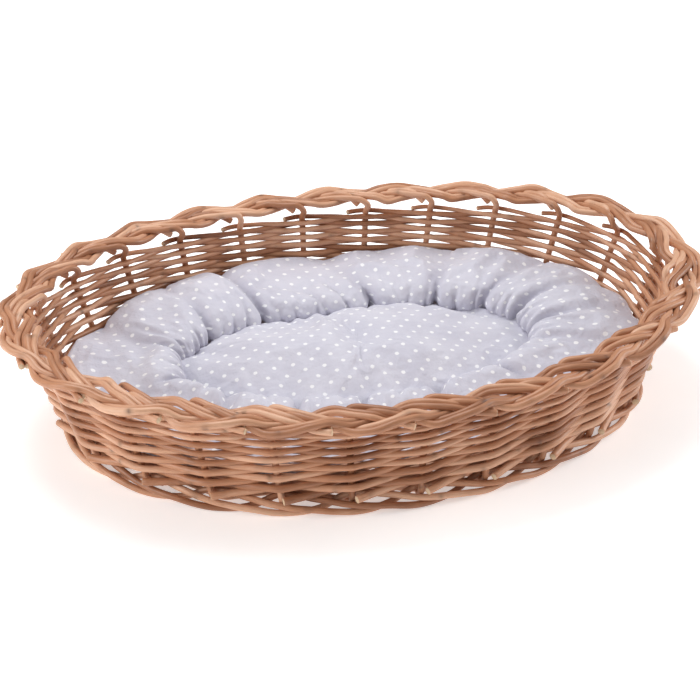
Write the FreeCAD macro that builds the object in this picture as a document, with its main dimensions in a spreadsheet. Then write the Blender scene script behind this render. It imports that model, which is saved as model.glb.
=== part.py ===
import FreeCAD, Part
import math
import os

# Oval willow basket with a plaited border, and the loose cushion that lies in it.
# Millimetres. X runs along the basket, Z is up, and the origin is the middle of the
# ring that the basket stands on.

Vector = FreeCAD.Vector

SIZES = {
    # plan of the stake line, at the border and at the foot
    "rim_half_length": 325.0,
    "rim_half_width": 219.0,
    "foot_half_length": 291.0,
    "foot_half_width": 207.0,
    "border_level": 111.0,
    "end_lift": 6.0,
    # willow
    "stake_count": 24,
    "stake_diameter": 5.0,
    "plait_pitch": 6.4,
    "weaver_diameter": 4.1,
    "wale_rod_diameter": 6.4,
    "clearance": 0.5,
    # siding
    "siding_start": 19.6,
    "siding_strokes": 17,
    "siding_margin": 8.5,
    # base
    "base_level": 9.2,
    "cross_stick_diameter": 6.8,
    "long_stick_diameter": 3.6,
    "long_stick_pitch": 4.4,
    "slot_clearance": 0.4,
    "cross_stick_pitch": 20.0,
    "base_weaver_diameter": 4.8,
    "base_ring_inset": 13.4,
    "base_ring_pitch": 5.9,
    "base_ring_count": 25,
    "stake_foot_length": 42.0,
    "stick_beside_stake": 6.6,
    "stick_end_inset": 8.0,
    "long_sticks_open_at": 190.0,
    # cushion
    "bolster_width": 116.0,
    "bolster_thickness": 62.0,
    "bolster_level": 49.8,
    "wall_gap": 12.0,
    "cover_thickness": 1.2,
    "filling_gap": 0.6,
    "bolster_end_radius": 88.0,
    "pad_half_length": 165.0,
    "pad_half_width": 82.0,
    "pad_half_height": 27.0,
    "pad_level": 34.0,
    "cushion_underside": 18.8,
}

TWO_PI = 2.0 * math.pi
UP = Vector(0, 0, 1)


def make_sheet(doc):
    """Put every driving size in a cell of its own, under its name."""
    sheet = doc.addObject("Spreadsheet::Sheet", "Sizes")
    for row, (name, value) in enumerate(SIZES.items(), start=1):
        sheet.set("A%d" % row, name)
        sheet.set("B%d" % row, str(value))
        sheet.setAlias("B%d" % row, name)
    doc.recompute()
    return sheet


# ---------------------------------------------------------------- paths and tubes

def corner_arc(before, corner, after, bend_radius):
    """Start, middle and end of the arc that rounds a corner, or None if it is straight."""
    into = (corner - before).normalize()
    out = (after - corner).normalize()
    turn = into.getAngle(out)
    if turn < 1e-3:
        return None
    shorter = min((corner - before).Length, (after - corner).Length)
    reach = min(0.45 * shorter, bend_radius * math.tan(turn / 2.0))
    radius = reach / math.tan(turn / 2.0)
    to_middle = (out - into).normalize()
    middle = corner + to_middle * (radius * (1.0 / math.cos(turn / 2.0) - 1.0))
    return corner - into * reach, middle, corner + out * reach


def rounded_wire(points, bend_radii):
    """Straight runs through the points, joined by tangent arcs."""
    edges = []
    start = points[0]
    for index in range(1, len(points) - 1):
        radius = bend_radii[index - 1]
        arc = corner_arc(points[index - 1], points[index], points[index + 1], radius)
        if arc is None:
            continue
        edges.append(Part.LineSegment(start, arc[0]).toShape())
        edges.append(Part.Arc(*arc).toShape())
        start = arc[2]
    edges.append(Part.LineSegment(start, points[-1]).toShape())
    return Part.Wire(edges)


def corners_for_arcs(points, bend_radii):
    """Move each corner out, so that its arc passes through the wanted point."""
    corners = list(points)
    for _ in range(3):
        moved = list(corners)
        for index in range(1, len(points) - 1):
            radius = bend_radii[index - 1]
            arc = corner_arc(corners[index - 1], corners[index], corners[index + 1], radius)
            if arc is not None:
                moved[index] = corners[index] + (points[index] - arc[1])
        corners = moved
    return corners


def tube(points, diameter, bend_radii):
    """A round rod along the points."""
    path = rounded_wire(points, bend_radii)
    direction = points[1] - points[0]
    section = Part.Wire([Part.makeCircle(diameter / 2.0, points[0], direction)])
    rod = path.makePipeShell([section], True, False)
    expected = path.Length * math.pi * diameter ** 2 / 4.0
    if abs(rod.Volume - expected) > 0.02 * expected:
        raise ValueError("a rod's volume is not its section times its length")
    return rod


def bent_rod(points, diameter, bend_radius):
    """A round rod whose arcs pass through the points."""
    radii = [bend_radius] * (len(points) - 2)
    return tube(corners_for_arcs(points, radii), diameter, radii)


# ---------------------------------------------------------------- the wall's frame

class Wall:
    """Where the stakes stand, and the directions along and away from the wall."""

    def __init__(self, sheet):
        self.rim = (sheet.rim_half_length, sheet.rim_half_width)
        self.foot = (sheet.foot_half_length, sheet.foot_half_width)
        self.base_level = sheet.base_level
        self.border_level = sheet.border_level
        self.end_lift = sheet.end_lift
        self.count = int(sheet.stake_count)
        self.steps = 720
        self.lengths = self.outline_lengths()

    def outline_lengths(self):
        """Length of the rim's outline from its +X end to each of many steps."""
        lengths = [0.0]
        for step in range(self.steps):
            middle = TWO_PI * (step + 0.5) / self.steps
            slope = math.hypot(self.rim[0] * math.sin(middle), self.rim[1] * math.cos(middle))
            lengths.append(lengths[-1] + slope * TWO_PI / self.steps)
        return lengths

    def angle(self, stake):
        """Ellipse angle of a stake, or of a place between two, counted along the rim."""
        turns = stake / self.count
        whole = math.floor(turns)
        wanted = (turns - whole) * self.lengths[-1]
        low, high = 0, self.steps
        while high - low > 1:
            middle = (low + high) // 2
            if self.lengths[middle] <= wanted:
                low = middle
            else:
                high = middle
        part = (wanted - self.lengths[low]) / (self.lengths[high] - self.lengths[low])
        return TWO_PI * (whole + (low + part) / self.steps)

    def rim_level(self, stake):
        """Height of the border's underside, which lifts towards both ends."""
        return self.border_level + self.end_lift * math.cos(2.0 * self.angle(stake))

    def point(self, stake, level):
        """Point of the stake line at a stake and a height."""
        return self.point_at(self.angle(stake), level)

    def point_at(self, angle, level):
        """Point of the stake line at an ellipse angle and a height."""
        share = (level - self.base_level) / (self.border_level - self.base_level)
        half_length = self.foot[0] + (self.rim[0] - self.foot[0]) * share
        half_width = self.foot[1] + (self.rim[1] - self.foot[1]) * share
        return Vector(half_length * math.cos(angle), half_width * math.sin(angle), level)

    def along(self, stake, level):
        """Level unit vector along the wall, anticlockwise from above."""
        angle = self.angle(stake)
        step = self.point_at(angle + 0.001, level) - self.point_at(angle - 0.001, level)
        return step.normalize()

    def outward(self, stake, level):
        """Level unit vector away from the wall."""
        return self.along(stake, level).cross(UP).normalize()

    def outward_of_stake(self, stake, level):
        """Unit vector away from the wall, square to the leaning stake."""
        lean = self.point(stake, level + 1.0) - self.point(stake, level)
        return self.along(stake, level).cross(lean).normalize()


# ---------------------------------------------------------------- siding and wale

def siding_level(sheet, wall, stake, stroke):
    """Height of a stroke: the strokes share the wall between the wale and the border."""
    top = wall.rim_level(stake) - sheet.siding_margin
    rise = (top - sheet.siding_start) / (sheet.siding_strokes - 1)
    return sheet.siding_start + rise * stroke


def siding_point(sheet, wall, first_stake, stroke, side_offset):
    """Centre of a weaver at a stroke, side_offset away from the stake line."""
    stake = first_stake + stroke
    level = siding_level(sheet, wall, stake, stroke)
    return wall.point(stake, level) + wall.outward_of_stake(stake, level) * side_offset


def siding_rod(sheet, wall, first_stake):
    """One weaver: it starts beside its stake and climbs one stroke for each stake."""
    radius = sheet.weaver_diameter / 2.0
    offset = sheet.stake_diameter / 2.0 + radius + sheet.clearance
    start_after, end_before = 0.14, 0.78
    strokes = int(sheet.siding_strokes)
    points = [siding_point(sheet, wall, first_stake, start_after, offset * 0.6)]
    for stroke in range(1, strokes):
        side = offset if stroke % 2 == 0 else -offset
        points.append(siding_point(sheet, wall, first_stake, stroke, side))
    points.append(siding_point(sheet, wall, first_stake, strokes - end_before, 0.0))
    return bent_rod(points, sheet.weaver_diameter, 24.0)


def wale_rod(sheet, wall, strand):
    """One of three strands that pass outside two stakes and inside the third."""
    radius = sheet.wale_rod_diameter / 2.0
    reach = sheet.stake_diameter / 2.0 + radius + sheet.clearance
    low = radius
    high = 3.0 * radius + 1.0
    inner = sheet.base_level + reach + 1.3
    # (outward, height) at a stake, and half-way to the next one, for each part played
    at_stake = ((-reach, inner), (reach, high), (reach + 0.6, low))
    half_way = ((0.6, inner - 0.9), (reach + 2.6, low + radius + 1.8), (0.2, low + 1.4))
    points = []
    for step in range(2 * wall.count):
        stake, half = divmod(step, 2)
        away, level = (half_way if half else at_stake)[(stake - strand) % 3]
        place = stake + half * 0.5
        points.append(wall.point(place, level) + wall.outward(place, level) * away)
    closing = (points[0] - points[-1]).normalize() * sheet.wale_rod_diameter * 0.7
    points.append(points[0] - closing)
    return bent_rod(points, sheet.wale_rod_diameter, 22.0)


# ---------------------------------------------------------------- the plaited border

# One pair's way through the plait. Each row is (stake spacings from its own stake,
# distance outward from the stake line, height over the border's underside), for the
# middle of the pair: it crosses outward over the top, dives under the older pair,
# comes back up along the outer edge, goes under the next crossing, runs along the
# inner edge and crosses outward once more beside the newest pair.
PLAIT = (
    (0.07, -7.4, 12.6),
    (0.30, 0.4, 13.0),
    (0.52, 7.4, 12.2),
    (0.76, 13.8, 6.0),
    (1.00, 24.0, 0.0),
    (1.26, 27.2, 5.6),
    (1.52, 25.8, 13.0),
    (1.76, 17.6, 13.0),
    (2.00, 15.6, 6.0),
    (2.26, 9.2, 5.0),
    (2.50, 0.8, 4.6),
    (2.70, -5.6, 6.8),
    (2.84, -4.4, 11.8),
    (3.05, 3.2, 12.8),
    (3.28, 11.8, 12.6),
    (3.42, 15.0, 8.6),
    (3.56, 19.2, 5.0),
    (3.76, 26.4, 3.4),
)


def plait_point(wall, stake, row, side_step=0.0):
    """Point of the plait, side_step outward from the pair's middle."""
    spacings, away, level = row
    place = stake + spacings
    line = wall.point(place, wall.border_level)
    rise = wall.rim_level(place) - wall.border_level + level
    return line + wall.outward(place, wall.border_level) * (away + side_step) + UP * rise


def stake_and_tail(sheet, wall, stake, spoke):
    """A stake from its foot in the base up the wall and on into the plait."""
    below_border = wall.point(stake, wall.rim_level(stake) - 7.0)
    shoulder = plait_point(wall, stake, (0.0, -8.4, 2.0))
    tail = [plait_point(wall, stake, row, -sheet.plait_pitch / 2.0) for row in PLAIT]
    tail_radii = [16.0] * (len(tail) - 1)
    tail = [shoulder] + tail
    corners = corners_for_arcs(tail, tail_radii)
    points = [spoke.foot_end, spoke.foot, below_border] + corners
    return tube(points, sheet.stake_diameter, [5.0, 16.0, 6.0] + tail_radii)


def border_filler(sheet, wall, stake):
    """The second rod of a stake's pair, which starts just under the border."""
    bottom = plait_point(wall, stake, (0.12, -2.4, -1.6))
    points = [plait_point(wall, stake, row, sheet.plait_pitch / 2.0) for row in PLAIT[1:]]
    return bent_rod([bottom] + points, sheet.stake_diameter, 16.0)


# ---------------------------------------------------------------- base

class Spoke:
    """One end of a base stick and the stake foot that runs beside it."""

    def __init__(self, sheet, wall, stake, inner, stick_radius):
        """Lay the stick from inner, a point of the base's middle, to just inside the stake."""
        self.inner = inner
        self.stick_radius = stick_radius
        self.foot = wall.point(stake, wall.base_level)
        self.end = self.foot
        for _ in range(6):
            self.inward = (inner - self.end).normalize()
            beside = self.inward.cross(UP) * sheet.stick_beside_stake
            self.end = self.foot + self.inward * sheet.stick_end_inset + beside
        self.foot_end = self.foot + self.inward * sheet.stake_foot_length


def stick_routes(sheet, wall):
    """Each base stick's kind, its two spokes and the stakes at its ends."""
    level = wall.base_level
    quarter = wall.count // 4
    reach = quarter - 2
    bend = 3.0 * sheet.long_stick_pitch
    radius = sheet.cross_stick_diameter / 2.0
    routes = []
    for step in range(-reach, reach + 1):
        across = sheet.cross_stick_pitch * step
        back, front = quarter - step, 3 * quarter + step
        ends = (Spoke(sheet, wall, back, Vector(across, bend, level), radius),
                Spoke(sheet, wall, front, Vector(across, -bend, level), radius))
        routes.append(("cross", ends, (back, front)))
    slath_end = sheet.cross_stick_pitch * (reach + 0.9)
    half = wall.count // 2
    radius = sheet.long_stick_diameter / 2.0
    for lane in (-1, 0, 1):
        side = sheet.long_stick_pitch * lane
        right, left = lane % wall.count, half - lane
        ends = (Spoke(sheet, wall, right, Vector(slath_end, side, level), radius),
                Spoke(sheet, wall, left, Vector(-slath_end, side, level), radius))
        routes.append(("long", ends, (right, left)))
    return routes


def spokes_by_stake(routes):
    """The spoke that belongs to each stake, in stake order."""
    found = {}
    for _, ends, stakes in routes:
        for spoke, stake in zip(ends, stakes):
            found[stake] = spoke
    return [found[stake] for stake in sorted(found)]


def base_stick(ends):
    """A stick across the base, bent once on each side of the middle."""
    first, last = ends
    points = [first.end, first.inner, last.inner, last.end]
    return tube(points, 2.0 * first.stick_radius, [30.0, 30.0])


def slot_cutter(sheet, wall):
    """The flat opening that runs through the middle of every cross stick."""
    gap = sheet.slot_clearance
    width = 2.0 * sheet.long_stick_pitch + sheet.long_stick_diameter + 2.0 * gap
    height = sheet.long_stick_diameter + 2.0 * gap
    length = 2.0 * sheet.cross_stick_pitch * wall.count
    corner = Vector(-length / 2.0, -width / 2.0, wall.base_level - height / 2.0)
    return Part.makeBox(length, width, height, corner)


def ring_crossing(start, end, half_length, half_width):
    """Where the line from start, outside an oval, to end, inside it, crosses the oval."""
    low, high = 0.0, 1.0
    for _ in range(40):
        middle = (low + high) / 2.0
        point = start + (end - start) * middle
        if (point.x / half_length) ** 2 + (point.y / half_width) ** 2 > 1.0:
            low = middle
        else:
            high = middle
    return start + (end - start) * low


def base_ring(sheet, wall, ring, spokes):
    """One round of the base's weaving: over one stick and under the next."""
    inset = sheet.base_ring_inset + ring * sheet.base_ring_pitch
    half_length = wall.foot[0] - inset
    half_width = wall.foot[1] - inset
    passes_feet = inset < sheet.stake_foot_length + sheet.base_ring_pitch
    gathered = half_length < sheet.long_sticks_open_at
    points = []
    for stake, spoke in enumerate(spokes):
        turn = stake + ring
        if gathered and stake % (wall.count // 2) == 0:
            turn += 1
        side = 1.0 if turn % 2 == 0 else -1.0
        radius = spoke.stick_radius
        if passes_feet:
            radius = max(radius, sheet.stake_diameter / 2.0)
        lift = UP * (side * (radius + sheet.base_weaver_diameter / 2.0 + sheet.clearance))
        if passes_feet:
            across_foot = ring_crossing(spoke.foot, spoke.foot_end + spoke.inward * 20.0,
                                        half_length, half_width)
            points.append(across_foot + lift)
        points.append(ring_crossing(spoke.end, spoke.inner, half_length, half_width) + lift)
    closing = (points[0] - points[-1]).normalize() * 3.0
    points.append(points[0] - closing)
    return bent_rod(points, sheet.base_weaver_diameter, 10.0)


def base_rods(sheet, wall):
    """Every rod of the base with its name, before the cross sticks are slotted."""
    routes = stick_routes(sheet, wall)
    spokes = spokes_by_stake(routes)
    rods = [("%s_%02d" % (kind, index), base_stick(ends))
            for index, (kind, ends, _) in enumerate(routes)]
    for ring in range(int(sheet.base_ring_count)):
        rods.append(("ring_%02d" % ring, base_ring(sheet, wall, ring, spokes)))
    return rods


# ---------------------------------------------------------------- cushion

def oval_wire(half_length, half_width, end_radius, level):
    """Closed oval of four tangent arcs."""
    reach = half_length - end_radius
    side_radius = ((reach ** 2 + half_width ** 2 - end_radius ** 2)
                   / (2.0 * (half_width - end_radius)))
    drop = side_radius - half_width
    joint_x = reach + end_radius * reach / (side_radius - end_radius)
    joint_y = end_radius * drop / (side_radius - end_radius)
    end = Vector(half_length, 0, level)
    side = Vector(0, half_width, level)
    right_back = Vector(joint_x, joint_y, level)
    right_front = Vector(joint_x, -joint_y, level)
    left_back = Vector(-joint_x, joint_y, level)
    left_front = Vector(-joint_x, -joint_y, level)
    arcs = [Part.Arc(right_front, end, right_back), Part.Arc(right_back, side, left_back),
            Part.Arc(left_back, -end + UP * 2.0 * level, left_front),
            Part.Arc(left_front, -side + UP * 2.0 * level, right_front)]
    return Part.Wire([arc.toShape() for arc in arcs])


def bolster_ring(sheet, wall, skin):
    """A closed ring of oval section, skin thinner all round than the bolster."""
    outer = wall.point_at(0.0, sheet.bolster_level).x - sheet.wall_gap
    side = wall.point_at(math.pi / 2.0, sheet.bolster_level).y - sheet.wall_gap
    half_length = outer - sheet.bolster_width / 2.0
    half_width = side - sheet.bolster_width / 2.0
    path = oval_wire(half_length, half_width, sheet.bolster_end_radius, sheet.bolster_level)
    start = path.Edges[0].Vertexes[0].Point
    direction = path.Edges[0].tangentAt(path.Edges[0].FirstParameter)
    sideways = direction.cross(UP)
    along_width = sheet.bolster_width / 2.0 - skin
    along_height = sheet.bolster_thickness / 2.0 - skin
    section = Part.Ellipse(start + sideways * along_width, start + UP * along_height, start)
    ring = path.makePipeShell([Part.Wire([section.toShape()])], True, False)
    expected = math.pi * along_width * along_height * path.Length
    if abs(ring.Volume - expected) > 0.02 * expected:
        raise ValueError("the bolster's volume is not its section times its length")
    return ring


def add_pad(doc, name, skin):
    """Crowned oval pad with a flat underside, as an ellipsoid less a box."""
    crown = doc.addObject("Part::Ellipsoid", name + "_crown")
    crown.setExpression("Radius1", "Sizes.pad_half_height - %s" % skin)
    crown.setExpression("Radius2", "Sizes.pad_half_length - %s" % skin)
    crown.setExpression("Radius3", "Sizes.pad_half_width - %s" % skin)
    crown.setExpression("Placement.Base.z", "Sizes.pad_level")
    below = doc.addObject("Part::Box", name + "_below")
    below.setExpression("Length", "2 * Sizes.pad_half_length + 20")
    below.setExpression("Width", "2 * Sizes.pad_half_width + 20")
    below.setExpression("Height", "Sizes.pad_half_height")
    below.setExpression("Placement.Base.x", "-Sizes.pad_half_length - 10")
    below.setExpression("Placement.Base.y", "-Sizes.pad_half_width - 10")
    below.setExpression("Placement.Base.z",
                        "Sizes.cushion_underside + %s - Sizes.pad_half_height" % skin)
    pad = doc.addObject("Part::Cut", name)
    pad.Base = crown
    pad.Tool = below
    return pad


# ---------------------------------------------------------------- the document

def add_piece(doc, name, shape, anchor):
    """A document object whose shape is drawn from its own anchor point."""
    piece = doc.addObject("Part::Feature", name)
    piece.Label = name
    local = shape.copy()
    local.translate(-anchor)
    piece.Shape = Part.Compound([local])
    piece.Placement = FreeCAD.Placement(anchor, FreeCAD.Rotation())
    return piece


def add_wall_pieces(doc, sheet, wall, spokes):
    """Stakes with their border fillers, siding rods and the wale at the foot."""
    pieces = []
    for stake in range(wall.count):
        anchor = wall.point(stake, wall.base_level)
        pair = Part.Compound([stake_and_tail(sheet, wall, stake, spokes[stake]),
                              border_filler(sheet, wall, stake)])
        pieces.append(add_piece(doc, "stake_%02d" % (stake + 1), pair, anchor))
        rod = siding_rod(sheet, wall, stake)
        pieces.append(add_piece(doc, "siding_rod_%02d" % (stake + 1), rod, anchor))
    for strand in range(3):
        rod = wale_rod(sheet, wall, strand)
        pieces.append(add_piece(doc, "foot_wale_rod_%d" % (strand + 1), rod, Vector(0, 0, 0)))
    return pieces


def add_base_pieces(doc, sheet, wall, routes, spokes):
    """Slotted cross sticks, long sticks and the rounds woven over and under them."""
    cutter = slot_cutter(sheet, wall)
    crossing = [base_stick(ends).cut(cutter) for kind, ends, _ in routes if kind == "cross"]
    long_sticks = [base_stick(ends) for kind, ends, _ in routes if kind == "long"]
    rounds = [base_ring(sheet, wall, ring, spokes) for ring in range(int(sheet.base_ring_count))]
    middle = len(rounds) // 2
    groups = (("base_cross_sticks", crossing), ("base_long_sticks", long_sticks),
              ("base_weave_outer", rounds[:middle]), ("base_weave_inner", rounds[middle:]))
    anchor = Vector(0, 0, wall.base_level)
    return [add_piece(doc, name, Part.Compound(solids), anchor) for name, solids in groups]


def add_cushion_pieces(doc, sheet, wall):
    """Bolster and pad, each a cover round its own filling."""
    inside = sheet.cover_thickness
    filling = inside + sheet.filling_gap
    anchor = Vector(0, 0, sheet.bolster_level)
    bolster = bolster_ring(sheet, wall, 0.0).cut(bolster_ring(sheet, wall, inside))
    pieces = [add_piece(doc, "bolster_cover", bolster, anchor),
              add_piece(doc, "bolster_filling", bolster_ring(sheet, wall, filling), anchor)]
    pad_cover = doc.addObject("Part::Cut", "pad_cover")
    pad_cover.Base = add_pad(doc, "pad_outside", "0")
    pad_cover.Tool = add_pad(doc, "pad_inside", "Sizes.cover_thickness")
    pad_filling = add_pad(doc, "pad_filling", "(Sizes.cover_thickness + Sizes.filling_gap)")
    for piece in (pad_cover, pad_filling):
        piece.Label = piece.Name
    return pieces + [pad_cover, pad_filling]


def check_document(doc, pieces):
    """Stop if any object failed to compute or any piece is not a sound solid."""
    for item in doc.Objects:
        if "Invalid" in item.State or "Error" in item.State:
            raise ValueError("%s did not compute" % item.Name)
    for piece in pieces:
        shape = piece.Shape
        if shape.isNull() or not shape.isValid() or not shape.Solids:
            raise ValueError("%s is not a valid solid" % piece.Label)


def main():
    """Build the basket and its cushion and write one STEP file for each piece."""
    os.makedirs("parts", exist_ok=True)
    doc = FreeCAD.newDocument("PetBasket")
    sheet = make_sheet(doc)
    wall = Wall(sheet)
    routes = stick_routes(sheet, wall)
    spokes = spokes_by_stake(routes)
    pieces = add_wall_pieces(doc, sheet, wall, spokes)
    pieces += add_base_pieces(doc, sheet, wall, routes, spokes)
    pieces += add_cushion_pieces(doc, sheet, wall)
    doc.recompute()
    check_document(doc, pieces)
    for piece in pieces:
        piece.Shape.exportStep("parts/%s.step" % piece.Label)
    print("%d pieces" % len(pieces))


if __name__ == "__main__":
    main()
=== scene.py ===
import logging
import math
from dataclasses import dataclass
from enum import Enum

import bpy
import numpy as np
from mathutils import Matrix, Vector


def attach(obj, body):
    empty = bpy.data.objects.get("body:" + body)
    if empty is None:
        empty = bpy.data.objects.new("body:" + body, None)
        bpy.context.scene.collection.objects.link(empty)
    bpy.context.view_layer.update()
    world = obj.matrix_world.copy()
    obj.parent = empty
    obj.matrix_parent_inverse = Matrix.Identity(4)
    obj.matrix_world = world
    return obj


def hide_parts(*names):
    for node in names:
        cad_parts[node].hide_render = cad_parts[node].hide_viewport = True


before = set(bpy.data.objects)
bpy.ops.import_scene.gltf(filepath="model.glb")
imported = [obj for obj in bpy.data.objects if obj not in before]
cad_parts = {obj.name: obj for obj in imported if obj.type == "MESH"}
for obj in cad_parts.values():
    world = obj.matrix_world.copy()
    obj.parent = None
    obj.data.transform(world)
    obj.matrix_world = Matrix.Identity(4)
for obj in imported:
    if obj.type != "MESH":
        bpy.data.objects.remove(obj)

LOG = logging.getLogger("pet_basket")
Array = np.ndarray
TAU = 2.0 * math.pi
MM = 0.001


class Slot(Enum):
    """The record's material slots."""

    STAKE = "stake_willow"
    WEAVER = "weaver_willow"
    BASE = "base_willow"
    COTTON = "dotted_cotton"


class Body(Enum):
    """The bodies that pieces ride on."""

    BASKET = "basket"
    CUSHION = "cushion"


# ---------------------------------------------------------------- array helpers

def unit(vectors: Array) -> Array:
    """Scale each row to length one.

    Args:
        vectors: rows of three numbers.

    Returns:
        The rows divided by their lengths.
    """
    return vectors / np.maximum(np.linalg.norm(vectors, axis=-1, keepdims=True), 1e-12)


def ease(value: Array) -> Array:
    """Smooth step: 3 v squared less 2 v cubed, with v held between 0 and 1.

    Args:
        value: numbers of any range.

    Returns:
        Numbers from 0 to 1.
    """
    held = np.clip(value, 0.0, 1.0)
    return held * held * (3.0 - 2.0 * held)


def smooth_line(controls: Array, step: float) -> Array:
    """Carry a smooth line through control rows and space it evenly.

    Each span is a cubic Hermite curve. Its end slopes are the means of the slopes of the
    two spans that meet there, each weighted by the other's knot gap, and the knot gap is
    the square root of the span's length. The line is then read at even steps of length.

    Args:
        controls: rows whose first three columns are a point; further columns ride along.
        step: distance between rows of the result, in metres.

    Returns:
        Rows with the same columns as the controls.
    """
    gaps = np.sqrt(np.linalg.norm(np.diff(controls[:, :3], axis=0), axis=1))[:, None]
    slopes = np.diff(controls, axis=0) / gaps
    inner = (slopes[:-1] * gaps[1:] + slopes[1:] * gaps[:-1]) / (gaps[:-1] + gaps[1:])
    tangents = np.vstack([slopes[:1], inner, slopes[-1:]])
    knots = np.concatenate([[0.0], np.cumsum(gaps[:, 0])])
    dense = np.linspace(0.0, knots[-1], 14 * len(controls))
    span = np.clip(np.searchsorted(knots, dense, side="right") - 1, 0, len(gaps) - 1)
    width = gaps[span]
    part = ((dense - knots[span]) / width[:, 0])[:, None]
    line = ((2 * part ** 3 - 3 * part ** 2 + 1) * controls[span]
            + (part ** 3 - 2 * part ** 2 + part) * width * tangents[span]
            + (3 * part ** 2 - 2 * part ** 3) * controls[span + 1]
            + (part ** 3 - part ** 2) * width * tangents[span + 1])
    lengths = np.linalg.norm(np.diff(line[:, :3], axis=0), axis=1)
    along = np.concatenate([[0.0], np.cumsum(lengths)])
    count = max(3, int(round(along[-1] / step)))
    wanted = np.linspace(0.0, along[-1], count)
    return np.stack([np.interp(wanted, along, column) for column in line.T], axis=1)


def slow_noise(length: Array, wavelength: float, rng: np.random.Generator) -> Array:
    """Gentle waves along a rod: three sines of nearby wavelengths and random phases.

    Args:
        length: distances along the rod, in metres.
        wavelength: the middle wavelength, in metres.
        rng: the piece's own random numbers.

    Returns:
        Numbers between about -1 and 1.
    """
    waves = wavelength * np.array([0.61, 1.0, 1.73])
    phases = rng.uniform(0.0, TAU, 3)
    return np.sin(length[:, None] * TAU / waves + phases).sum(axis=1) / 2.2


# ---------------------------------------------------------------- mesh building

@dataclass
class Surface:
    """Vertices, faces, corner UVs and vertex masks of one shell."""

    vertices: Array
    quads: Array
    triangles: Array
    uvs: Array
    masks: dict[str, Array]


def join_surfaces(surfaces: list[Surface]) -> Surface:
    """Put several shells into one, each keeping its own vertices.

    Args:
        surfaces: the shells.

    Returns:
        One surface; all quads come before all triangles.
    """
    starts = np.cumsum([0] + [len(part.vertices) for part in surfaces[:-1]])
    quads = np.concatenate([part.quads + start for part, start in zip(surfaces, starts)])
    triangles = np.concatenate([part.triangles + start for part, start in zip(surfaces, starts)])
    split = [4 * len(part.quads) for part in surfaces]
    uvs = np.concatenate([part.uvs[:cut] for part, cut in zip(surfaces, split)]
                         + [part.uvs[cut:] for part, cut in zip(surfaces, split)])
    masks = {name: np.concatenate([part.masks[name] for part in surfaces])
             for name in surfaces[0].masks}
    vertices = np.concatenate([part.vertices for part in surfaces])
    return Surface(vertices, quads, triangles, uvs, masks)


def make_object(name: str, surface: Surface, material: bpy.types.Material) -> bpy.types.Object:
    """Turn a surface into a smooth-shaded mesh object at the origin.

    Args:
        name: the object's and mesh's name.
        surface: what to build.
        material: its only material.

    Returns:
        The linked object.
    """
    mesh = bpy.data.meshes.new(name)
    faces = surface.quads.tolist() + surface.triangles.tolist()
    mesh.from_pydata(surface.vertices.tolist(), [], faces)
    layer = mesh.uv_layers.new(name="UVMap")
    layer.data.foreach_set("uv", surface.uvs.astype(np.float32).ravel())
    for mask, values in surface.masks.items():
        attribute = mesh.attributes.new(mask, "FLOAT", "POINT")
        attribute.data.foreach_set("value", values.astype(np.float32))
    mesh.polygons.foreach_set("use_smooth", np.ones(len(mesh.polygons), dtype=bool))
    mesh.materials.append(material)
    mesh.update()
    piece = bpy.data.objects.new(name, mesh)
    bpy.context.scene.collection.objects.link(piece)
    return piece


def declare(piece: bpy.types.Object, body: Body, nodes: list[str]) -> None:
    """Say what a piece rides on and the nodes that it stands for.

    Args:
        piece: the finished object.
        body: the body it rides on.
        nodes: the replaced nodes.
    """
    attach(piece, body.value)
    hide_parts(*nodes)
    LOG.info("%s: %d faces for %s", piece.name, len(piece.data.polygons), ", ".join(nodes))


def wrapped_quads(rows: int, columns: int, closed: bool) -> Array:
    """Corner numbers of a grid whose columns wrap round, and its rows too if closed."""
    row = np.arange(rows if closed else rows - 1)[:, None]
    column = np.arange(columns)[None, :]
    next_row = (row + 1) % rows
    next_column = (column + 1) % columns
    corners = [row * columns + column, row * columns + next_column,
               next_row * columns + next_column, next_row * columns + column]
    return np.stack(corners, axis=-1).reshape(-1, 4)


def wrapped_uvs(rows: int, columns: int, closed: bool, across: float, lengths: Array) -> Array:
    """Corner UVs to match wrapped_quads: across the columns, and lengths down the rows."""
    last = rows if closed else rows - 1
    row = np.arange(last)[:, None] + np.zeros((1, columns), dtype=int)
    column = np.arange(columns)[None, :] + np.zeros((last, 1), dtype=int)
    corners = [(column, row), (column + 1, row), (column + 1, row + 1), (column, row + 1)]
    pairs = [np.stack([c * across / columns, lengths[r]], axis=-1) for c, r in corners]
    return np.stack(pairs, axis=2).reshape(-1, 2)


# ---------------------------------------------------------------- willow rods

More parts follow.
